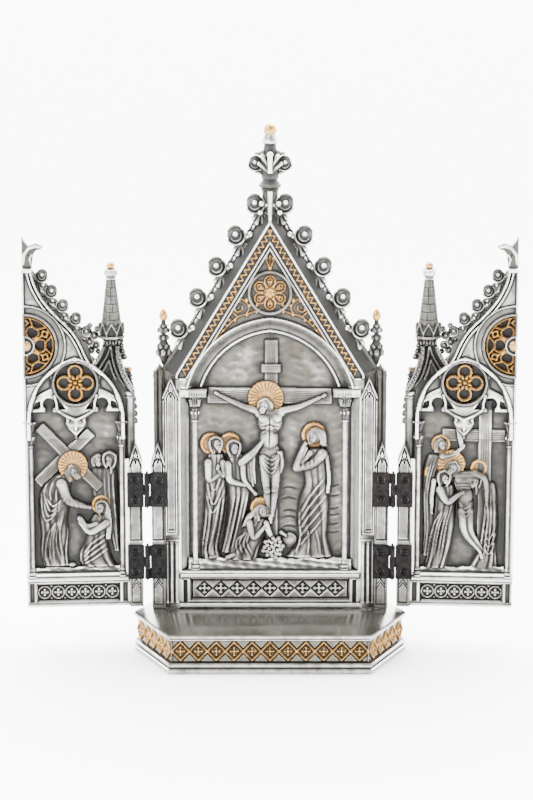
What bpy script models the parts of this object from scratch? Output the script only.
"""Triptych altarpiece: a cast panel on a plinth with two hinged wings, each a relief under Gothic tracery.

Sizes are in millimetres. X runs right, Y to the back and Z up, from the middle of the plinth's underside.
"""
import math

import bmesh
import bpy
import numpy as np
from mathutils import Matrix

MM = 0.001
CLEARANCE = 0.3

# Plinth
PLINTH_HEIGHT = 18.2
PLINTH_HALF_WIDTH = 64.1
PLINTH_HALF_FRONT = 45.8
PLINTH_HALF_DEPTH = 39.0
PLINTH_FOOT_HEIGHT = 5.7
PLINTH_TOP_HEIGHT = 3.1
PLINTH_BAND_INSET = 2.3
LOZENGE_PITCH = 7.9

# Depths shared by the panel and its wings
STRIP_FACE = 4.0
FRAME_STEP = 1.8
STRIP_HALF_WIDTH = 3.1

# Centre panel
PANEL_GROUND = 12.0
PANEL_BACK = 18.0
PANEL_BOTTOM = PLINTH_HEIGHT + CLEARANCE
PANEL_HALF_WIDTH = 54.8
STRIP_TOP = 89.0
STRIP_TIP = 97.5
PILASTER = 45.5
PILASTER_HALF_WIDTH = 2.5
PILASTER_TOP = 121.0
PILASTER_FOOT_TOP = 51.4
PINNACLE = 49.0
PINNACLE_DEPTH = 13.2
PINNACLE_TOP = 158.6
PINNACLE_HEIGHT = 28.6
GABLE_FOOT = 43.4
GABLE_FOOT_HEIGHT = 129.1
GABLE_APEX = 200.0
COPING_WIDTH = 6.5
RELIEF_HALF_WIDTH = 37.9
RELIEF_BOTTOM = 36.0
RELIEF_RISE = 27.4
ARCH_RIM = 1.0
ARCH_HALF_WIDTH = RELIEF_HALF_WIDTH + ARCH_RIM
ARCH_SPRING = 122.3
ARCH_APEX = 155.4
ARCH_RADIUS = 44.0
ARCH_ORDERS_WIDTH = 7.3
COLONETTE = RELIEF_HALF_WIDTH - 3.2
COLONETTE_RADIUS = 1.15
ABACUS_HALF_WIDTH = 6.1
ABACUS_HEIGHT = 3.8
MEDALLION_HEIGHT = 167.7
MEDALLION_RADIUS = 10.1
MEDALLION_RING = 1.7
CROCKETS = 5
CROCKET_RADIUS = 4.7
CROCKET_PITCH = 14.35
MAST_RADIUS = 3.4
FINIAL_HEIGHT = 243.1
PREDELLA_TOP = 34.7
PREDELLA_HALF_WIDTH = 36.7
PREDELLA_BOTTOM = 22.6
PREDELLA_HEIGHT = 9.3
PREDELLA_LOZENGES = 9
PREDELLA_PITCH = 7.65
LEDGE_HALF_WIDTH = 41.8
LEDGE_HEIGHT = 1.8
BACK_BORDER_HALF_WIDTH = 43.0
BACK_BORDER_BOTTOM = 26.0
BACK_BORDER_SPRING = 112.0
BACK_BORDER_APEX = 176.0
BACK_BORDER_WIDTH = 5.0

# Wings, with sideways places taken from the hinge's axis
WING_INNER_EDGE = 2.0
WING_WIDTH = 55.8
WING_BOTTOM = 19.6
WING_GROUND = 10.0
WING_BACK = 14.5
WING_TOP = 178.7
WING_SWING = 4.5
ARCH_CENTRE = 32.2
WING_ARCH_HALF_WIDTH = 21.8
WING_ARCH_SPRING = 108.3
WING_ARCH_APEX = 137.7
WING_ARCH_WIDTH = 1.8
WING_RELIEF_BOTTOM = 35.8
WING_RELIEF_RISE = 9.0
QUATREFOIL_RISE = 17.1
QUATREFOIL_RADIUS = 10.0
WING_COLONETTES = (11.5, 53.2)
ROSE_HEIGHT = 143.2
ROSE_RADIUS = 18.0
ROSE_INNER_RADIUS = 15.4
ROSE_RINGS_REACH = 9.0
CORNICE_LENGTH = 4.6
CORNICE_HEIGHT = 2.6
BEAK_HEIGHT = 14.0
TURRET = 15.3
TURRET_RADIUS = 6.0
TURRET_DEPTH = 10.2
TURRET_TOP = 180.7
TURRET_SHOULDER = 154.2
TURRET_FOOT = 128.0
WING_PREDELLA_HALF_WIDTH = 19.0
WING_PREDELLA_BOTTOM = 22.4
WING_PREDELLA_HEIGHT = 8.1
WING_PREDELLA_ROUNDS = 6
WING_LEDGE_TOP = 33.8
WING_BORDER_HALF_WIDTH = 19.0
WING_BORDER_BOTTOM = 26.0
WING_BORDER_SPRING = 112.0
WING_BORDER_APEX = 142.0
WING_BORDER_WIDTH = 3.5

# Hinges
AXIS_OFFSET = 2.0
HINGE_AXIS_DEPTH = 2.6
HINGE_HEIGHTS = (41.1, 75.4)
HINGE_LENGTH = 16.2
LEAF_REACH = 9.1
LEAF_THICKNESS = 0.8
KNUCKLE_RADIUS = 1.25
PIN_RADIUS = 0.45
KNUCKLES = 3
SCREW_REACH = 5.5
SCREW_SPACING = 9.3
SCREW_HEAD_RADIUS = 1.5
SCREW_SHANK_RADIUS = 0.65
SCREW_LENGTH = 3.4

HINGE_AXIS = PANEL_HALF_WIDTH + AXIS_OFFSET
ROUND_SIDES = 8
SCREW_SIDES = 6

# Reliefs: the sizes that their stories are drawn at, the grid's pitch and the triangles that they keep
STORY_SIZE = (76.8, 114.2)
STORY_TRIANGLES = 1100
WING_STORY_SIZE = (40.2, 81.5)
WING_STORY_TRIANGLES = 560
RELIEF_CELL = 1.15
RELIEF_TUCK = 0.5


def clear_scene():
    for thing in list(bpy.data.objects):
        bpy.data.objects.remove(thing, do_unlink=True)


def new_collection(name):
    collection = bpy.data.collections.new(name)
    bpy.context.scene.collection.children.link(collection)
    return collection


def new_material(name, colour, roughness, metallic):
    material = bpy.data.materials.new(name)
    material.use_nodes = True
    shader = material.node_tree.nodes["Principled BSDF"]
    shader.inputs["Base Color"].default_value = (*colour, 1)
    shader.inputs["Roughness"].default_value = roughness
    shader.inputs["Metallic"].default_value = metallic
    return material


# Shapes, each a mesh in millimetres


def mesh_of(thing, flat_faces=False):
    """The welded mesh that an object evaluates to, where it stands. The object itself is removed."""
    bpy.context.view_layer.update()
    graph = bpy.context.evaluated_depsgraph_get()
    mesh = bpy.data.meshes.new_from_object(thing.evaluated_get(graph))
    mesh.transform(thing.matrix_world)
    bpy.data.objects.remove(thing, do_unlink=True)
    shape = bmesh.new()
    shape.from_mesh(mesh)
    bmesh.ops.remove_doubles(shape, verts=shape.verts, dist=1e-4)
    bmesh.ops.recalc_face_normals(shape, faces=shape.faces)
    if flat_faces:
        bmesh.ops.dissolve_limit(shape, angle_limit=math.radians(0.5), verts=shape.verts, edges=shape.edges)
    shape.to_mesh(mesh)
    shape.free()
    return mesh


def stand_in(name, data):
    thing = bpy.data.objects.new(name, data)
    bpy.context.scene.collection.objects.link(thing)
    return thing


def plate(outlines, front, back, upright=True):
    """A flat plate between two depths. Its outlines hold x and z, or x and y where it lies flat."""
    curve = bpy.data.curves.new("outline", "CURVE")
    curve.dimensions = "2D"
    curve.fill_mode = "BOTH"
    curve.extrude = (back - front) / 2
    for outline in outlines:
        spline = curve.splines.new("POLY")
        spline.points.add(len(outline) - 1)
        for point, place in zip(spline.points, outline):
            point.co = (place[0], place[1], 0, 1)
        spline.use_cyclic_u = True
    thing = stand_in("plate", curve)
    if upright:
        thing.location.y = (front + back) / 2
        thing.rotation_euler.x = math.pi / 2
    else:
        thing.location.z = (front + back) / 2
    return mesh_of(thing, flat_faces=True)


def box(x, y, z):
    """A box between pairs of values along each axis."""
    shape = bmesh.new()
    bmesh.ops.create_cube(shape, size=1)
    size = Matrix.Diagonal((x[1] - x[0], y[1] - y[0], z[1] - z[0], 1))
    middle = Matrix.Translation(((x[0] + x[1]) / 2, (y[0] + y[1]) / 2, (z[0] + z[1]) / 2))
    bmesh.ops.transform(shape, matrix=middle @ size, verts=shape.verts)
    mesh = bpy.data.meshes.new("box")
    shape.to_mesh(mesh)
    shape.free()
    return mesh


def ball(centre, radii, sides=ROUND_SIDES):
    shape = bmesh.new()
    bmesh.ops.create_uvsphere(shape, u_segments=sides, v_segments=max(4, sides // 2), radius=1)
    place = Matrix.Translation(centre) @ Matrix.Diagonal((*radii, 1))
    bmesh.ops.transform(shape, matrix=place, verts=shape.verts)
    mesh = bpy.data.meshes.new("ball")
    shape.to_mesh(mesh)
    shape.free()
    return mesh


def turned(profile, x, y, sides=ROUND_SIDES):
    """A turned shape on an upright axis from (radius, height) points, top first."""
    mesh = bpy.data.meshes.new("profile")
    mesh.from_pydata([(radius, 0, height) for radius, height in profile],
                     [(index, index + 1) for index in range(len(profile) - 1)], [])
    thing = stand_in("turned", mesh)
    screw = thing.modifiers.new("Screw", "SCREW")
    screw.steps = screw.render_steps = sides
    screw.use_merge_vertices = True
    screw.merge_threshold = 1e-4
    thing.location = (x, y, 0)
    return mesh_of(thing)


def moved(mesh, x=0.0, y=0.0, z=0.0):
    mesh.transform(Matrix.Translation((x, y, z)))
    return mesh


def joined(meshes):
    shape = bmesh.new()
    for mesh in meshes:
        shape.from_mesh(mesh)
    whole = bpy.data.meshes.new("joined")
    shape.to_mesh(whole)
    shape.free()
    return whole


def helper(name, mesh, collection):
    """A cutter or a set of shapes that a modifier uses, left out of the model itself."""
    mesh.transform(Matrix.Scale(MM, 4))
    thing = bpy.data.objects.new(name, mesh)
    collection.objects.link(thing)
    thing.hide_render = True
    thing.display_type = "WIRE"
    return thing


def combine(thing, tool, operation):
    change = thing.modifiers.new(operation.title(), "BOOLEAN")
    change.operation = operation
    change.solver = "EXACT"
    change.use_self = operation == "UNION"
    change.object = tool


def piece(name, mesh, material, collection):
    mesh.transform(Matrix.Scale(MM, 4))
    mesh.materials.clear()
    mesh.materials.append(material)
    thing = bpy.data.objects.new(name, mesh)
    collection.objects.link(thing)
    return thing


def simplify(thing, share):
    """Takes out the vertices that united shapes leave on flat faces, down to a share of the triangles."""
    fewer = thing.modifiers.new("Decimate", "DECIMATE")
    fewer.ratio = share


def casting(name, shapes, holes, material, collection, tools, share):
    """One cast piece: all its shapes united, with the screws' holes sunk in it."""
    thing = piece(name, shapes[0], material, collection)
    combine(thing, helper(name + "_ornament", joined(shapes[1:]), tools), "UNION")
    simplify(thing, share)
    combine(thing, helper(name + "_holes", joined(holes), tools), "DIFFERENCE")
    return thing


# Outlines


def both_sides(half):
    """A symmetric outline from its right half, listed from the bottom up."""
    return half + [(-x, z) for x, z in reversed(half) if x > 0]


def arc_centre(half_width, rise, radius):
    """The middle of an arch's right arc, measured from the middle of its springing line."""
    chord = math.hypot(half_width, rise)
    reach = math.sqrt(radius**2 - chord**2 / 4)
    return half_width / 2 - reach * rise / chord, rise / 2 - reach * half_width / chord


def pointed(centre, half_width, spring, apex, steps=6, radius=None):
    """The two arcs of a pointed arch, from its right springing over the apex to the left one.

    Without a radius, each arc's middle lies on the springing line.
    """
    rise = apex - spring
    radius = radius or (half_width**2 + rise**2) / (2 * half_width)
    across, up = arc_centre(half_width, rise, radius)
    start = math.atan2(-up, half_width - across)
    turn = math.atan2(rise - up, -across) - start
    right = []
    for step in range(steps):
        angle = start + turn * step / steps
        right.append((across + radius * math.cos(angle), spring + up + radius * math.sin(angle)))
    return [(centre + x, z) for x, z in right + [(0, apex)]] + [(centre - x, z) for x, z in reversed(right)]


def centre_arch(inset, steps=8):
    """The centre panel's arch, set in by some millimetres from its outer rim."""
    across, up = arc_centre(ARCH_HALF_WIDTH, ARCH_APEX - ARCH_SPRING, ARCH_RADIUS)
    radius = ARCH_RADIUS - inset
    half_width = across + math.sqrt(radius**2 - up**2)
    apex = ARCH_SPRING + up + math.sqrt(radius**2 - across**2)
    return pointed(0, half_width, ARCH_SPRING, apex, steps, radius)


def oblong(left, right, bottom, top):
    return [(left, bottom), (right, bottom), (right, top), (left, top)]


def opening(centre, half_width, bottom, spring, apex, steps=6):
    return [(centre - half_width, bottom), (centre + half_width, bottom)] + pointed(
        centre, half_width, spring, apex, steps
    )


def circle(x, z, radius, sides=16, lobes=0, depth=0.0, turn=0.0):
    """A round outline, or one with lobes."""
    points = []
    for side in range(sides):
        angle = turn + math.tau * side / sides
        reach = radius * (1 - depth * (1 - abs(math.cos(lobes * angle / 2)))) if lobes else radius
        points.append((x + reach * math.cos(angle), z + reach * math.sin(angle)))
    return points


def lozenge(x, z, half_width, half_height):
    return [(x + half_width, z), (x, z + half_height), (x - half_width, z), (x, z - half_height)]


def scroll(x, z, radius, side, turn=0.0):
    """A crocket: a round curl whose leaf comes up from below, on its side away from the middle."""
    angles = [math.radians(degrees) for degrees in range(-60, 221, 35)]
    curl = [(radius * math.cos(angle), radius * math.sin(angle)) for angle in angles]
    leaf = [(-1.15 * radius, -0.9 * radius), (-0.7 * radius, -1.7 * radius), (0.1 * radius, -1.2 * radius)]
    c, s = math.cos(turn), math.sin(turn)
    return [(x + side * (u * c - w * s), z + u * s + w * c) for u, w in curl + leaf]


# Relief: heights above the ground, sampled on a grid


class Canvas:
    def __init__(self, width, height, cell):
        self.columns = int(round(width / cell)) + 1
        self.rows = int(round(height / cell)) + 1
        self.u, self.w = np.meshgrid(
            np.linspace(-width / 2, width / 2, self.columns), np.linspace(0, height, self.rows), indexing="ij"
        )
        self.h = np.zeros_like(self.u)

    def raise_to(self, height, inside):
        self.h = np.where(inside, np.maximum(self.h, height), self.h)


def limb(canvas, points, radii, lift):
    """A rounded bar along a line of points, its axis lift above the ground."""
    path = np.array(points, float)
    best = np.full(canvas.u.shape, -1.0)
    count = len(path) - 1
    for index in range(count):
        start, step = path[index], path[index + 1] - path[index]
        t = np.clip(((canvas.u - start[0]) * step[0] + (canvas.w - start[1]) * step[1]) / (step @ step), 0, 1)
        radius = np.interp((index + t) / count, np.linspace(0, 1, len(radii)), radii)
        away = np.hypot(canvas.u - start[0] - t * step[0], canvas.w - start[1] - t * step[1])
        best = np.maximum(best, radius**2 - away**2)
    canvas.raise_to(lift + 0.8 * np.sqrt(np.clip(best, 0, None)), best > 0)


def dome(canvas, u, w, across, up, base, rise):
    r = ((canvas.u - u) / across) ** 2 + ((canvas.w - w) / up) ** 2
    canvas.raise_to(base + rise * np.sqrt(np.clip(1 - r, 0, None)), r < 1)


def robe(canvas, rows, height, folds, depth):
    """A draped body between two edges: rows hold (height, left, right) from the top to the hem."""
    rows = np.array(rows, float)[::-1]
    left = np.interp(canvas.w, rows[:, 0], rows[:, 1])
    right = np.interp(canvas.w, rows[:, 0], rows[:, 2])
    s = (canvas.u - left) / (right - left)
    inside = (s > 0) & (s < 1) & (canvas.w >= rows[0, 0]) & (canvas.w <= rows[-1, 0])
    body = height * np.clip(1 - np.abs(2 * s - 1) ** 3, 0, None) ** 0.5
    canvas.raise_to(body + depth * (np.abs(np.sin(math.pi * folds * s)) - 0.7), inside)


def beam(canvas, start, end, width, lift):
    along = np.array(end, float) - start
    length = np.linalg.norm(along)
    along /= length
    t = (canvas.u - start[0]) * along[0] + (canvas.w - start[1]) * along[1]
    v = (canvas.w - start[1]) * along[0] - (canvas.u - start[0]) * along[1]
    canvas.raise_to(lift, (t > 0) & (t < length) & (np.abs(v) < width / 2))


def halo(canvas, u, w, radius, lift):
    canvas.raise_to(lift, np.hypot(canvas.u - u, canvas.w - w) < radius)


def head(canvas, u, w, size, lift, covered=False):
    """A head as it shows from a step away, under its hair or a veil."""
    if covered:
        dome(canvas, u, w + 0.1 * size, 0.52 * size, 0.62 * size, 0.8 * lift, 0.25 * size)
    dome(canvas, u, w, 0.40 * size, 0.52 * size, lift, 0.32 * size)


def crucifixion(canvas):
    beam(canvas, (0.6, 8), (0.6, 108.4), 6.1, 1.5)
    beam(canvas, (-28.9, 82.3), (28.7, 82.3), 7.5, 1.7)
    beam(canvas, (-3.9, 95.3), (5.0, 95.3), 4.2, 2.3)
    for u, w, radius, lift in (
        (-1.9, 81.1, 8.2, 2.4), (-28.0, 60.5, 5.1, 1.3), (-18.8, 60.9, 5.0, 1.5),
        (20.4, 63.8, 5.8, 1.5), (-4.3, 29.6, 4.8, 3.1),
    ):
        halo(canvas, u, w, radius, lift)
    robe(canvas, [(56, -28.5, -21.8), (47, -29.8, -20.5), (24, -30.9, -21.6), (4, -31.8, -22.4)], 3.2, 4, 0.9)
    head(canvas, -25.1, 59.4, 6.4, 2.5, True)
    robe(canvas, [(56, -19.6, -12.2), (42, -20.7, -8.3), (19, -21.2, -12.6), (4, -22.8, -15.4)], 2.9, 4, 0.9)
    limb(canvas, [(-13.0, 51.0), (-7.6, 55.8), (-3.4, 61.2)], [2.1, 1.6, 0.9], 3.0)
    limb(canvas, [(-19.6, 50), (-17.0, 42.0), (-8.0, 37.4)], [1.9, 1.7, 1.0], 3.0)
    head(canvas, -16.7, 57.7, 6.6, 2.8, True)
    limb(canvas, [(-5.4, 75.2), (-14.1, 78.3), (-23.8, 83.0)], [1.8, 1.3, 1.0], 3.0)
    limb(canvas, [(5.4, 75.4), (13.8, 77.5), (24.0, 82.0)], [1.8, 1.3, 1.0], 3.0)
    limb(canvas, [(-2.4, 53.0), (-1.5, 38.0), (-0.4, 23.0)], [2.7, 1.9, 1.1], 2.8)
    limb(canvas, [(2.4, 53.0), (2.3, 38.5), (0.7, 23.0)], [2.7, 1.9, 1.1], 3.0)
    dome(canvas, 0.1, 70.6, 5.6, 6.2, 1.4, 3.6)
    dome(canvas, -0.3, 62.0, 4.1, 6.8, 1.4, 3.3)
    robe(canvas, [(57.0, -4.8, 4.6), (50.0, -5.2, 5.4), (45.0, -2.0, 4.0)], 4.2, 3, 0.7)
    head(canvas, -2.7, 77.8, 6.4, 3.8)
    robe(canvas, [(25, -10.0, -1.2), (16.4, -15.4, -2.1), (4, -20.9, -5.6)], 4.0, 3, 0.9)
    head(canvas, -3.8, 28.0, 6.2, 4.0)
    dome(canvas, 1.8, 10.6, 5.6, 6.0, 2.6, 1.2)
    dome(canvas, 9.2, 13.6, 3.6, 3.6, 0.8, 1.6)
    robe(canvas, [(57, 16.4, 25.8), (41, 16.0, 27.1), (22, 12.7, 27.1), (4, 7.6, 29.6)], 3.5, 5, 0.9)
    limb(canvas, [(24.2, 54.6), (12.4, 48.6), (15.4, 59.0)], [2.5, 1.8, 1.1], 3.4)
    head(canvas, 20.7, 63.2, 7.0, 3.2)


def carrying_the_cross(canvas):
    robe(canvas, [(51.5, 12.4, 18.4), (38.5, 10.9, 19.0), (12.0, 17.0, 19.2)], 1.9, 3, 0.7)
    head(canvas, 9.9, 55.4, 5.2, 1.8)
    head(canvas, 15.0, 55.6, 5.8, 2.0, True)
    beam(canvas, (6.9, 68.8), (-18.2, 45.0), 5.2, 1.5)
    beam(canvas, (-16.9, 71.8), (10.9, 42.2), 5.2, 2.0)
    halo(canvas, -1.7, 53.3, 6.8, 2.6)
    robe(canvas, [(49.5, -10.0, -2.6), (41.9, -16.6, -2.8), (27.3, -17.6, -4.4), (4, -16.4, -3.6)], 3.2, 5, 0.9)
    limb(canvas, [(-7.2, 45.0), (-3.8, 37.0), (5.6, 33.6)], [2.6, 2.1, 1.0], 3.3)
    head(canvas, -1.2, 50.2, 6.8, 3.2)
    halo(canvas, 11.2, 34.4, 4.5, 2.3)
    robe(canvas, [(30.4, 8.0, 14.6), (24.6, 4.6, 15.0), (10.0, 0.6, 15.6), (4, 1.4, 18.0)], 3.3, 4, 0.9)
    limb(canvas, [(13.4, 26.0), (6.0, 22.4), (1.0, 28.0)], [1.9, 1.6, 1.0], 3.5)
    head(canvas, 11.0, 33.3, 5.8, 3.2, True)


def taking_down(canvas):
    beam(canvas, (-9.9, 67.3), (19.2, 67.3), 6.0, 1.3)
    beam(canvas, (9.8, 8.0), (9.8, 84.0), 6.1, 1.7)
    for u, w, radius, lift in (
        (-10.5, 63.0, 4.4, 1.6), (7.2, 52.1, 3.9, 1.9), (-5.4, 54.1, 6.3, 2.6), (-13.9, 49.6, 4.0, 2.2),
    ):
        halo(canvas, u, w, radius, lift)
    mourner = [(58, -15.6, -8.6), (48.9, -18.7, -11.0), (22.0, -18.0, -13.0), (9.0, -18.6, -15.0)]
    robe(canvas, mourner, 2.0, 3, 0.7)
    limb(canvas, [(-9.6, 57.4), (-4.6, 58.6), (-0.2, 62.2)], [1.6, 1.2, 0.9], 2.2)
    head(canvas, -10.2, 62.7, 5.6, 2.2)
    robe(canvas, [(45.0, 8.4, 14.6), (34.3, 9.0, 16.2), (13.4, 6.8, 16.0), (4, 2.6, 17.0)], 2.6, 4, 0.9)
    head(canvas, 5.7, 46.3, 5.6, 2.8, True)
    limb(canvas, [(-13.4, 46.0), (-14.4, 31.6)], [1.2, 0.8], 3.2)
    limb(canvas, [(0.0, 31.5), (1.4, 21.5), (8.8, 10.6)], [2.2, 1.6, 0.9], 3.0)
    limb(canvas, [(3.2, 31.5), (4.0, 22.0), (9.4, 11.6)], [2.0, 1.4, 0.9], 2.6)
    dome(canvas, 0.4, 45.6, 4.6, 5.4, 1.6, 2.7)
    dome(canvas, 1.1, 38.8, 3.5, 5.2, 1.6, 2.5)
    robe(canvas, [(37.6, -2.2, 4.6), (33.0, -2.4, 5.2), (29.2, -0.6, 4.2)], 3.7, 3, 0.6)
    limb(canvas, [(4.0, 49.4), (9.6, 47.6), (11.0, 36.0)], [1.6, 1.4, 0.9], 3.3)
    head(canvas, -5.0, 52.1, 6.2, 3.2)
    robe(canvas, [(44.0, -12.2, -4.6), (34.3, -13.4, -3.2), (4, -17.6, -7.2)], 3.5, 4, 0.9)
    limb(canvas, [(-10.6, 42.0), (-7.0, 36.8), (-0.6, 40.6)], [1.9, 1.7, 1.0], 3.7)
    head(canvas, -8.5, 47.2, 6.0, 3.2, True)


def relief(story, drawn, size, x, ground, bottom, triangles):
    """A panel's carved ground as a solid slab. Its story is drawn at one size and fitted to the panel's."""
    canvas = Canvas(drawn[0], drawn[1], RELIEF_CELL)
    story(canvas)
    canvas.raise_to(4.2 - 0.25 * canvas.w, canvas.w < 5.2)
    shape = bmesh.new()
    bmesh.ops.create_grid(shape, x_segments=canvas.columns - 1, y_segments=canvas.rows - 1, size=0.5)
    for vert in shape.verts:
        column = int(round((vert.co.x + 0.5) * (canvas.columns - 1)))
        row = int(round((vert.co.y + 0.5) * (canvas.rows - 1)))
        depth = ground - canvas.h[column, row]
        vert.co = (x + vert.co.x * size[0], depth, bottom + (vert.co.y + 0.5) * size[1])
    behind = bmesh.ops.extrude_face_region(shape, geom=shape.faces[:])["geom"]
    for part in behind:
        if isinstance(part, bmesh.types.BMVert):
            part.co.y = ground + 1.5
    bmesh.ops.recalc_face_normals(shape, faces=shape.faces)
    mesh = bpy.data.meshes.new("relief")
    shape.to_mesh(mesh)
    shape.free()
    thing = stand_in("relief", mesh)
    fewer = thing.modifiers.new("Decimate", "DECIMATE")
    fewer.ratio = triangles / sum(len(face.vertices) - 2 for face in mesh.polygons)
    return mesh_of(thing)


# Pieces


def hexagon(inset):
    """The plinth's outline, drawn in by some millimetres, with its two side corners slightly rounded."""
    run, depth = PLINTH_HALF_WIDTH - PLINTH_HALF_FRONT, PLINTH_HALF_DEPTH
    slope = math.hypot(run, depth)
    corner = PLINTH_HALF_WIDTH - inset * slope / depth
    front = PLINTH_HALF_FRONT - inset * (slope - run) / depth
    round_off = 1.2
    tip = corner - 0.35 * round_off
    right = [
        (front, -(depth - inset)),
        (corner - round_off * run / slope, -round_off * depth / slope),
        (tip, 0),
        (corner - round_off * run / slope, round_off * depth / slope),
        (front, depth - inset),
    ]
    return right + [(-x, y) for x, y in reversed(right)]


def plinth_shapes():
    top = PLINTH_HEIGHT
    foot = PLINTH_FOOT_HEIGHT
    band_top = top - PLINTH_TOP_HEIGHT
    layers = [
        (0.0, 0.5, 2.6), (0.9, 2.3, 3.4), (0.3, 3.1, foot), (1.2, foot - 0.3, foot + 0.5),
        (PLINTH_BAND_INSET, foot, band_top + 0.3), (1.3, band_top, band_top + 1.2),
        (0.0, band_top + 0.9, top),
    ]
    shapes = [plate([hexagon(0.6)], 0, 0.8, upright=False)]
    shapes += [plate([hexagon(inset)], low, high, upright=False) for inset, low, high in layers]
    middle = (foot + band_top) / 2
    face = -(PLINTH_HALF_DEPTH - PLINTH_BAND_INSET)
    for index in range(-5, 6):
        shapes.append(plate([lozenge(LOZENGE_PITCH * index, middle, 3.6, 3.9)], face - 0.5, face + 0.5))
    run, depth = PLINTH_HALF_WIDTH - PLINTH_HALF_FRONT, PLINTH_HALF_DEPTH
    turn = math.atan2(depth, run)
    for side in (-1, 1):
        for index in range(-2, 3):
            mesh = plate([lozenge(LOZENGE_PITCH * index, middle, 3.6, 3.9)], -0.5, 0.5)
            mesh.transform(Matrix.Rotation(side * turn, 4, "Z"))
            centre = (PLINTH_HALF_WIDTH + PLINTH_HALF_FRONT) / 2
            inward = PLINTH_BAND_INSET
            x = side * (centre - inward * math.sin(turn))
            shapes.append(moved(mesh, x, -depth / 2 + inward * math.cos(turn)))
    return shapes


def strip_shapes(centre, bottom, front, back):
    """A flat strip that carries the hinges, with sunk panels between and beyond them, and a gabled tip."""
    half = STRIP_HALF_WIDTH
    outline = [
        (centre - half, bottom), (centre + half, bottom), (centre + half, STRIP_TOP),
        (centre, STRIP_TIP), (centre - half, STRIP_TOP),
    ]
    room = HINGE_LENGTH / 2 + 1.4
    under, low = HINGE_HEIGHTS[0] - room, HINGE_HEIGHTS[0] + room
    high, over = HINGE_HEIGHTS[1] - room, HINGE_HEIGHTS[1] + room
    sunk = [
        oblong(centre - 1.6, centre + 1.6, low, high),
        opening(centre, 1.6, over, STRIP_TOP - 1.2, STRIP_TOP + 2.6, 3),
        opening(centre, 1.6, bottom + 1.6, under - 4.6, under - 1.2, 3),
    ]
    return [plate([outline] + sunk, front, back), plate([outline], front + 1.1, back)]


def crocket_places():
    slope = (GABLE_APEX - GABLE_FOOT_HEIGHT) / GABLE_FOOT
    top = GABLE_APEX + 7.0
    for index in range(CROCKETS):
        z = top - CROCKET_PITCH * index
        yield (GABLE_APEX + COPING_WIDTH * slope - z) / slope + 4.6, z


def finial_shapes():
    base = GABLE_APEX
    depth = (STRIP_FACE + FRAME_STEP + PANEL_BACK) / 2
    top = FINIAL_HEIGHT
    profile = [
        (0, top), (1.6, top - 0.8), (2.6, top - 2.8), (2.6, top - 4.5), (1.9, top - 6.0), (3.8, top - 7.4),
        (3.8, top - 9.0), (2.8, top - 10.3), (3.0, top - 13.0), (4.4, top - 17.7), (3.4, top - 22.5),
        (3.6, top - 26.0), (5.1, top - 27.4), (5.1, top - 29.0), (MAST_RADIUS, top - 30.2),
        (MAST_RADIUS, base - 6), (0, base - 6),
    ]
    shapes = [turned(profile, 0, depth)]
    knop = top - 17.7
    for x, y in ((1, 0), (-1, 0), (0, 1), (0, -1)):
        shapes.append(ball((6.3 * x, depth + 6.3 * y, knop), (3.8, 3.8, 3.4), 6))
        shapes.append(ball((4.3 * x, depth + 4.3 * y, knop + 3.2), (2.2, 2.2, 2.0), 6))
    return shapes


def pinnacle_shapes(side):
    top = PINNACLE_TOP
    foot = top - PINNACLE_HEIGHT
    profile = [
        (0, top), (1.6, top - 1.0), (2.0, top - 3.0), (1.2, top - 5.2), (1.1, top - 9.0), (2.4, top - 10.0),
        (1.2, top - 11.4), (2.2, top - 15.6), (4.0, top - 20.6), (2.6, top - 24.6), (2.9, foot), (0, foot),
    ]
    return [turned(profile, side * PINNACLE, PINNACLE_DEPTH)]


def colonette(x, y, bottom, top, radius, spread):
    """A thin shaft with a base of rings and a leafy capital."""
    profile = [
        (0, top), (spread, top), (spread * 0.95, top - 2.5), (radius * 1.3, top - 4.0),
        (spread * 0.9, top - 6.4), (radius, top - 11.5), (radius, bottom + 6.0), (spread * 0.6, bottom + 5.2),
        (radius * 1.1, bottom + 4.0), (spread * 0.9, bottom + 2.6), (spread, bottom), (0, bottom),
    ]
    return turned(profile, x, y, 6)


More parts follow.
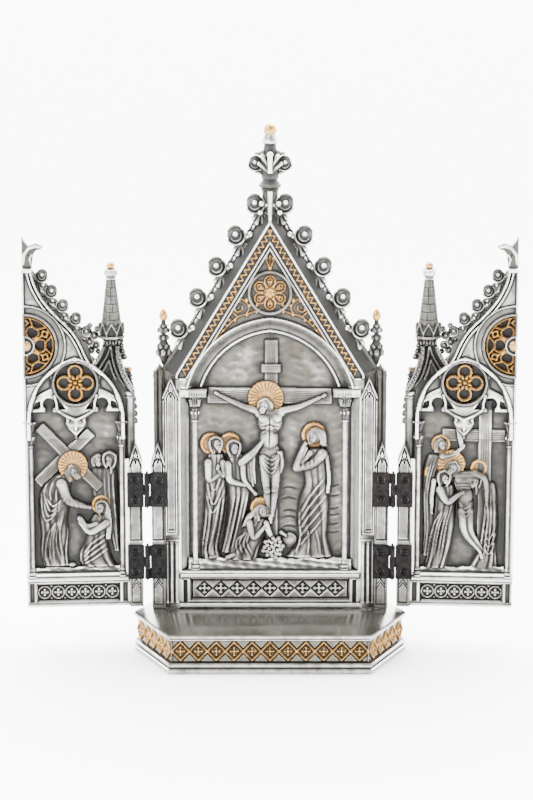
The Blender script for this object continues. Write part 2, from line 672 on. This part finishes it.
def centre_shapes():
    back, ground = PANEL_BACK, PANEL_GROUND
    frame = STRIP_FACE + FRAME_STEP
    slope = (GABLE_APEX - GABLE_FOOT_HEIGHT) / GABLE_FOOT
    edge = GABLE_FOOT + COPING_WIDTH
    tip = GABLE_APEX + (COPING_WIDTH - MAST_RADIUS) * slope
    bottom = PANEL_BOTTOM
    side_edge = PANEL_HALF_WIDTH - 0.5
    upper_edge = PANEL_HALF_WIDTH - 1.8
    body = both_sides([
        (side_edge, bottom), (side_edge, STRIP_TOP), (upper_edge, STRIP_TIP),
        (upper_edge, GABLE_FOOT_HEIGHT + 1.4), (edge, GABLE_FOOT_HEIGHT + 2.0), (MAST_RADIUS, tip),
    ])
    shapes = [plate([body], ground - 0.6, back - 1.0)]
    face = both_sides([
        (PILASTER + PILASTER_HALF_WIDTH, bottom), (PILASTER + PILASTER_HALF_WIDTH, PILASTER_TOP),
        (PILASTER, PILASTER_TOP + 7.2), (GABLE_FOOT, GABLE_FOOT_HEIGHT), (0, GABLE_APEX),
    ])
    hollow = [(-RELIEF_HALF_WIDTH, RELIEF_BOTTOM), (RELIEF_HALF_WIDTH, RELIEF_BOTTOM)] + centre_arch(ARCH_RIM)
    predella_top = PREDELLA_BOTTOM + PREDELLA_HEIGHT
    predella = oblong(-PREDELLA_HALF_WIDTH, PREDELLA_HALF_WIDTH, PREDELLA_BOTTOM, predella_top)
    shapes.append(plate([face, hollow, predella], frame, ground))
    behind = PREDELLA_HALF_WIDTH + 1.3
    floor = oblong(-behind, behind, PREDELLA_BOTTOM - 1.6, predella_top + 1.1)
    shapes.append(plate([floor], frame + 1.5, ground))
    # Sloping coping behind the gable's face
    outer = both_sides([(edge - 2.4, GABLE_FOOT_HEIGHT + 2.4), (MAST_RADIUS - 0.6, tip - 3.2)])
    shapes.append(plate([outer], frame + 2.6, ground))
    # Receding orders of the arch
    for outer_inset, inner_inset, depth in ((0.2, 2.8, 1.8), (2.4, ARCH_ORDERS_WIDTH, 3.6)):
        ring = centre_arch(outer_inset) + centre_arch(inner_inset)[::-1]
        shapes.append(plate([ring], frame + depth, ground + 0.2))
    # Gable mouldings and medallion
    for apex, width in ((GABLE_APEX, 3.6), (GABLE_APEX - 10.6, 3.2)):
        foot = (apex - GABLE_FOOT_HEIGHT) / slope
        inner = (apex - width - GABLE_FOOT_HEIGHT) / slope
        chevron = [
            (foot, GABLE_FOOT_HEIGHT), (0, apex), (-foot, GABLE_FOOT_HEIGHT), (-inner, GABLE_FOOT_HEIGHT),
            (0, apex - width), (inner, GABLE_FOOT_HEIGHT),
        ]
        shapes.append(plate([chevron], frame - 1.1, frame + 1))
    rim = circle(0, MEDALLION_HEIGHT, MEDALLION_RADIUS)
    hole = circle(0, MEDALLION_HEIGHT, MEDALLION_RADIUS - MEDALLION_RING)
    shapes.append(plate([rim, hole], frame - 1.2, frame + 1))
    rosette = circle(0, MEDALLION_HEIGHT, MEDALLION_RADIUS - MEDALLION_RING - 0.7, 32, lobes=8, depth=0.18)
    shapes.append(plate([rosette], frame - 0.8, frame + 1.2))
    for x, z in crocket_places():
        for side in (-1, 1):
            shapes.append(plate([scroll(side * x, z, CROCKET_RADIUS, side)], frame + 3.2, back - 2.8))
    shapes += finial_shapes()
    for side in (-1, 1):
        shapes += strip_shapes(side * (PANEL_HALF_WIDTH - STRIP_HALF_WIDTH), bottom, STRIP_FACE, back)
        shapes += pinnacle_shapes(side)
        shapes += pilaster_shapes(side, bottom, frame)
        x = side * COLONETTE
        shaft_top = ARCH_SPRING - ABACUS_HEIGHT - 0.4
        shapes.append(colonette(x, ground - 3.2, RELIEF_BOTTOM, shaft_top, COLONETTE_RADIUS, 3.2))
        x += side * 0.8
        across = (x - ABACUS_HALF_WIDTH, x + ABACUS_HALF_WIDTH)
        height = (ARCH_SPRING - ABACUS_HEIGHT, ARCH_SPRING - 0.2)
        shapes.append(box(across, (frame - 0.6, ground + 0.4), height))
    # Predella with its ledge and lozenges
    ledge = (PREDELLA_TOP - LEDGE_HEIGHT, PREDELLA_TOP)
    shapes.append(box((-LEDGE_HALF_WIDTH, LEDGE_HALF_WIDTH), (frame - 1.0, ground - 0.5), ledge))
    middle = PREDELLA_BOTTOM + PREDELLA_HEIGHT / 2
    for index in range(PREDELLA_LOZENGES):
        x = PREDELLA_PITCH * (index - (PREDELLA_LOZENGES - 1) / 2)
        shapes.append(plate([circle(x, middle, 4.0, 16, lobes=4, depth=0.45)], frame + 0.4, ground - 1))
    # A plain raised border on the back
    half, low, width = BACK_BORDER_HALF_WIDTH, BACK_BORDER_BOTTOM, BACK_BORDER_WIDTH
    border = opening(0, half, low, BACK_BORDER_SPRING, BACK_BORDER_APEX)
    inside = opening(0, half - width, low + width, BACK_BORDER_SPRING, BACK_BORDER_APEX - 1.4 * width)
    shapes.append(plate([border, inside], back - 1.4, back))
    size = (2 * (RELIEF_HALF_WIDTH + RELIEF_TUCK), ARCH_SPRING + RELIEF_RISE - RELIEF_BOTTOM + RELIEF_TUCK)
    bottom = RELIEF_BOTTOM - RELIEF_TUCK
    shapes.append(relief(crucifixion, STORY_SIZE, size, 0, ground, bottom, STORY_TRIANGLES))
    return shapes


def pilaster_shapes(side, bottom, frame):
    """The pilaster beside the relief: rods below, a gabled shaft above."""
    x = side * PILASTER
    half = PILASTER_HALF_WIDTH
    foot, top = PILASTER_FOOT_TOP, PILASTER_TOP
    reach = half - 0.4
    shaft = [
        (x - reach, foot + 1.2), (x + reach, foot + 1.2), (x + reach, top), (x, top + 6.4), (x - reach, top),
    ]
    reach = half - 1.5
    inner = [
        (x - reach, foot + 4.1), (x + reach, foot + 4.1), (x + reach, top - 4), (x, top - 0.6),
        (x - reach, top - 4),
    ]
    shapes = [plate([shaft, inner], frame - 1.2, frame + 1)]
    for rod in (-1, 0, 1):
        middle = x + 1.75 * rod
        shapes.append(box((middle - 0.6, middle + 0.6), (frame - 1.0, frame + 1), (bottom + 1.2, foot)))
    shapes.append(box((x - half - 0.2, x + half + 0.2), (frame - 1.4, frame + 1), (foot - 0.8, foot + 1.8)))
    shapes.append(box((x - half - 0.3, x + half + 0.3), (frame - 1.4, frame + 1), (bottom, bottom + 2.2)))
    return shapes


def wing_outline(side):
    """The wing's edge: a half ogee gable that rises to the free edge beside a turret."""
    rise = [(44.8, 169.0), (38.6, 160.2), (32.2, 152.6), (26.8, 144.6), (24.4, 136.0)]
    top = [(WING_WIDTH - 0.5, WING_BOTTOM), (WING_WIDTH - 0.5, WING_TOP - 0.5), (51.0, WING_TOP - 1.4)]
    turret = [(TURRET + 8.2, 133.5), (TURRET - 8.0, 131.5), (6.8, 121.3), (4.9, 120.5), (4.9, STRIP_TOP)]
    foot = [(WING_INNER_EDGE + 0.4, STRIP_TOP - 1), (WING_INNER_EDGE + 0.4, WING_BOTTOM)]
    return [(side * x, z) for x, z in top + rise + turret + foot]


def wing_shapes(side, story):
    back, ground = WING_BACK, WING_GROUND
    frame = STRIP_FACE + FRAME_STEP * 0.7
    centre = side * ARCH_CENTRE
    half = WING_ARCH_HALF_WIDTH
    bottom, spring, apex = WING_RELIEF_BOTTOM, WING_ARCH_SPRING, WING_ARCH_APEX
    edge = side * (WING_WIDTH - 0.2)

    def span(near, far):
        return sorted((side * near, side * far))

    shapes = [plate([wing_outline(side)], ground - 0.5, back - 0.7)]
    face = [(side * x, z) for x, z in [
        (WING_INNER_EDGE + 6, WING_BOTTOM + 0.3), (WING_WIDTH - 0.3, WING_BOTTOM + 0.3),
        (WING_WIDTH - 0.3, WING_TOP - 2.2), (50.6, WING_TOP - 3.7), (46.0, WING_TOP - 12.3),
        (40.0, WING_TOP - 21.5), (33.4, 149.6), (27.6, 141.4), (24.6, 131.5),
        (12.0, 126.0), (WING_INNER_EDGE + 6, 119.0),
    ]]
    hollow = opening(centre, half - 2.2, bottom, spring, apex - 3.0, 7)
    reach, floor = WING_PREDELLA_HALF_WIDTH, WING_PREDELLA_BOTTOM
    top = floor + WING_PREDELLA_HEIGHT
    predella = oblong(centre - reach, centre + reach, floor, top)
    shapes.append(plate([face, hollow, predella], frame, ground))
    across = (centre - reach - 1, centre + reach + 1)
    shapes.append(box(across, (frame + 1.4, ground - 0.2), (floor - 1, top + 1)))
    # Arch moulding, tracery and its two smaller arches
    inner = pointed(centre, half - WING_ARCH_WIDTH, spring, apex - 2.4, 7)
    ring = pointed(centre, half, spring, apex, 7) + inner[::-1]
    shapes.append(plate([ring], frame - 0.9, frame + 1))
    low = spring - 3.4
    screen = pointed(centre, half - 1.6, spring, apex - 2.2, 7) + [(centre - half + 1.6, low)]
    for way in (-1, 1):
        light = pointed(centre + 10.2 * way, 8.0, spring - 2.0, spring + 8.2, 4)[::-1]
        screen += [(light[0][0], low)] + light + [(light[-1][0], low)]
    screen.append((centre + half - 1.6, low))
    eye, ring = spring + QUATREFOIL_RISE, QUATREFOIL_RADIUS
    pierced = circle(centre, eye, ring - 1.4, 24, lobes=4, depth=0.3, turn=math.pi / 4)
    shapes.append(plate([screen, pierced], frame + 1.8, ground + 0.2))
    rim = [circle(centre, eye, ring), circle(centre, eye, ring - 1.1)]
    shapes.append(plate(rim, frame + 0.7, ground - 1))
    shapes.append(plate([circle(centre, eye, ring - 2.4, 16, lobes=4, depth=0.5)], frame + 2.4, ground + 0.1))
    shapes.append(ball((centre, frame + 2.4, spring - 5.0), (1.7, 1.5, 2.4), 6))
    # Half rose on the free edge

    def spot(reach, angle):
        return edge - side * reach * math.sin(angle), ROSE_HEIGHT + reach * math.cos(angle)

    outer = [spot(ROSE_RADIUS, math.pi * k / 12) for k in range(13)]
    inner = [spot(ROSE_INNER_RADIUS, math.pi * k / 12) for k in range(12, -1, -1)]
    shapes.append(plate([outer + inner], frame - 1.0, frame + 1))
    for k in range(1, 6):
        x, z = spot(ROSE_RINGS_REACH, math.pi * k / 6)
        shapes.append(plate([circle(x, z, 4.3, 8), circle(x, z, 2.8, 8)], frame - 0.7, frame + 0.8))
    # Free edge's border and cornice
    across, height = span(WING_WIDTH - 1.6, WING_WIDTH - 0.1), (WING_BOTTOM + 0.1, WING_TOP - 1)
    shapes.append(box(across, (frame - 0.5, back - 1), height))
    across, height = span(WING_WIDTH - CORNICE_LENGTH, WING_WIDTH), (WING_TOP - CORNICE_HEIGHT, WING_TOP)
    shapes.append(box(across, (frame - 1.2, back - 0.2), height))
    tip = WING_TOP + BEAK_HEIGHT
    beak = [
        (edge, WING_TOP - 0.4), (edge, tip), (edge - side * 2.4, tip - 3.7), (edge - side * 1.6, tip - 8.7),
        (edge - side * 3.4, WING_TOP - 0.4),
    ]
    shapes.append(plate([beak], frame + 1.2, ground + 1.6))
    for x, z in ((46.2, 175.2), (41.7, 168.0), (37.4, 160.9), (31.4, 154.6)):
        shapes.append(plate([scroll(side * x, z, 3.3, -side)], frame + 2.4, back - 2.2))
    shapes += turret_shapes(side)
    shapes += strip_shapes(side * (WING_INNER_EDGE + STRIP_HALF_WIDTH), WING_BOTTOM, STRIP_FACE, back)
    for x in WING_COLONETTES:
        shapes.append(colonette(side * x, frame + 1.6, WING_RELIEF_BOTTOM - 2.4, spring, 1.3, 2.3))
    # Predella with its ledge and rounds
    across, height = span(10.6, WING_WIDTH - 0.2), (WING_LEDGE_TOP - LEDGE_HEIGHT, WING_LEDGE_TOP)
    shapes.append(box(across, (frame - 0.9, ground - 0.6), height))
    for index in range(WING_PREDELLA_ROUNDS):
        x = centre + 6.0 * (index - (WING_PREDELLA_ROUNDS - 1) / 2)
        shapes.append(plate([circle(x, (floor + top) / 2, 2.6, 8)], frame + 0.6, ground - 0.8))
    reach, low, width = WING_BORDER_HALF_WIDTH, WING_BORDER_BOTTOM, WING_BORDER_WIDTH
    border = opening(centre, reach, low, WING_BORDER_SPRING, WING_BORDER_APEX)
    inside = opening(centre, reach - width, low + width, WING_BORDER_SPRING, WING_BORDER_APEX - 1.4 * width)
    shapes.append(plate([border, inside], back - 1.2, back))
    size = (2 * (half - 2.2 + RELIEF_TUCK), spring + WING_RELIEF_RISE - bottom)
    low = bottom - RELIEF_TUCK
    shapes.append(relief(story, WING_STORY_SIZE, size, centre, ground, low, WING_STORY_TRIANGLES))
    return shapes


def turret_shapes(side):
    x = side * TURRET
    top = TURRET_TOP
    profile = [
        (0, top), (1.7, top - 1.2), (1.9, top - 2.4), (1.2, top - 3.6), (3.2, top - 4.6), (2.0, top - 6.2),
        (2.3, top - 7.6), (3.9, TURRET_SHOULDER), (4.6, TURRET_SHOULDER - 0.6),
        (TURRET_RADIUS - 0.6, TURRET_SHOULDER - 2.2), (TURRET_RADIUS - 0.6, TURRET_FOOT), (0, TURRET_FOOT),
    ]
    shapes = [turned(profile, x, TURRET_DEPTH)]
    foot = TURRET_FOOT - 1.0
    gable = [
        (x + 8.4, foot + 6.6), (x + 4.2, foot + 10.6), (x, foot + 18.4), (x - 4.2, foot + 10.6),
        (x - 8.4, foot + 3.6), (x - 8.4, foot), (x + 8.4, foot),
    ]
    shapes.append(plate([gable], STRIP_FACE + 0.6, WING_GROUND))
    shapes.append(ball((side * 6.9, 9.0, 132.2), (1.9, 1.9, 2.4), 6))
    shapes.append(box(sorted((side * 5.0, side * 9.6)), (7.0, WING_GROUND + 1), (STRIP_TOP, 121.0)))
    return shapes


def screw_places(side):
    for height in HINGE_HEIGHTS:
        for end in (-1, 1):
            yield side * SCREW_REACH, height + end * SCREW_SPACING / 2


def screw_profile(gap):
    """A countersunk screw from its head, or with a gap the hole that takes it."""
    face = LEAF_THICKNESS + CLEARANCE
    head, shank = SCREW_HEAD_RADIUS + gap, SCREW_SHANK_RADIUS + gap
    end = -face - SCREW_LENGTH + LEAF_THICKNESS - gap
    return [(0, gap), (head, gap), (shank, -LEAF_THICKNESS - gap), (shank, end), (0, end)]


def screw_mesh(x, z, gap=0.0):
    mesh = turned(screw_profile(gap), 0, 0, SCREW_SIDES)
    mesh.transform(Matrix.Rotation(math.pi / 2, 4, "X"))
    return moved(mesh, x, STRIP_FACE - CLEARANCE - LEAF_THICKNESS, z)


def leaf_mesh(side, height, inner_knuckles):
    """One leaf with its knuckles, in the frame of the hinge's axis. side is the way that the leaf points."""
    front = STRIP_FACE - CLEARANCE - LEAF_THICKNESS
    low = height - HINGE_LENGTH / 2
    step = HINGE_LENGTH / KNUCKLES
    shapes = []
    reach = sorted((side * (KNUCKLE_RADIUS + CLEARANCE), side * LEAF_REACH))
    shapes.append(box(reach, (front, front + LEAF_THICKNESS), (low, low + HINGE_LENGTH)))
    own = [index for index in range(KNUCKLES) if (index % 2 == 1) == inner_knuckles]
    bore = PIN_RADIUS + CLEARANCE
    for index in own:
        start = low + index * step + (CLEARANCE / 2 if index else 0)
        end = low + (index + 1) * step - (CLEARANCE / 2 if index < KNUCKLES - 1 else 0)
        ring = [(bore, end), (KNUCKLE_RADIUS, end), (KNUCKLE_RADIUS, start), (bore, start), (bore, end)]
        shapes.append(turned(ring, 0, HINGE_AXIS_DEPTH))
        web = sorted((side * (bore + 0.2), side * (KNUCKLE_RADIUS + CLEARANCE + 0.5)))
        shapes.append(box(web, (front + 0.02, front + LEAF_THICKNESS - 0.02), (start + 0.02, end - 0.02)))
    return shapes


def build_hinge(name, side, height, moving_pivot, steel, parts, tools):
    for label, way, inner in (("fixed_leaf", -side, False), ("moving_leaf", side, True)):
        shapes = leaf_mesh(way, height, inner)
        thing = piece(f"{name}_{label}", shapes[0], steel, parts)
        combine(thing, helper(f"{name}_{label}_knuckles", joined(shapes[1:]), tools), "UNION")
        own = [(x, z) for x, z in screw_places(way) if abs(z - height) < HINGE_LENGTH / 2]
        cut = helper(f"{name}_{label}_holes", joined([screw_mesh(x, z, CLEARANCE) for x, z in own]), tools)
        combine(thing, cut, "DIFFERENCE")
        for moved_thing in (thing, cut, bpy.data.objects[f"{name}_{label}_knuckles"]):
            place_at_hinge(moved_thing, side, moving_pivot if inner else None)
        for x, z in own:
            level = "upper" if z > height else "lower"
            leaf = "moving" if inner else "fixed"
            screw = piece(f"{name}_{leaf}_{level}_screw", screw_mesh(x, z), steel, parts)
            place_at_hinge(screw, side, moving_pivot if inner else None)
    half = HINGE_LENGTH / 2
    profile = [
        (0, height + half + 1.2), (PIN_RADIUS + 0.3, height + half + CLEARANCE),
        (PIN_RADIUS, height + half + CLEARANCE), (PIN_RADIUS, height - half - 0.2), (0, height - half - 1.2),
    ]
    pin = piece(f"{name}_pin", turned(profile, 0, HINGE_AXIS_DEPTH, SCREW_SIDES), steel, parts)
    place_at_hinge(pin, side, None)


def place_at_hinge(thing, side, pivot):
    """Sets a piece that is drawn from the hinge's axis in its place, on the wing's pivot where it moves."""
    thing.data.transform(Matrix.Translation((0, -HINGE_AXIS_DEPTH * MM, 0)))
    if pivot:
        thing.parent = pivot
    else:
        thing.location = (side * HINGE_AXIS * MM, HINGE_AXIS_DEPTH * MM, 0)


def main():
    clear_scene()
    parts = new_collection("triptych_altarpiece")
    tools = new_collection("cutters")
    silver = new_material("antique_silver", (0.62, 0.60, 0.55), 0.38, 0.9)
    plinth_silver = new_material("plinth_silver", (0.42, 0.41, 0.38), 0.3, 0.9)
    steel = new_material("dark_steel", (0.10, 0.10, 0.11), 0.4, 0.9)

    shapes = plinth_shapes()
    plinth = piece("plinth", shapes[0], plinth_silver, parts)
    combine(plinth, helper("plinth_mouldings", joined(shapes[1:]), tools), "UNION")

    holes = []
    for side in (-1, 1):
        for x, z in screw_places(-side):
            holes.append(moved(screw_mesh(x, z, CLEARANCE), side * HINGE_AXIS))
    casting("centre_panel", centre_shapes(), holes, silver, parts, tools, 0.58)

    for side, name, story in ((-1, "left", carrying_the_cross), (1, "right", taking_down)):
        pivot = bpy.data.objects.new(f"{name}_hinge_axis", None)
        parts.objects.link(pivot)
        pivot.location = (side * HINGE_AXIS * MM, HINGE_AXIS_DEPTH * MM, 0)
        pivot.rotation_euler.z = -side * math.radians(WING_SWING)
        sunk = [screw_mesh(x, z, CLEARANCE) for x, z in screw_places(side)]
        casting(f"{name}_wing", wing_shapes(side, story), sunk, silver, parts, tools, 0.52)
        for ending in ("", "_ornament", "_holes"):
            place_at_hinge(bpy.data.objects[f"{name}_wing{ending}"], side, pivot)
        for level, height in zip(("lower", "upper"), HINGE_HEIGHTS):
            build_hinge(f"{name}_{level}_hinge", side, height, pivot, steel, parts, tools)
    bpy.context.view_layer.update()


main()
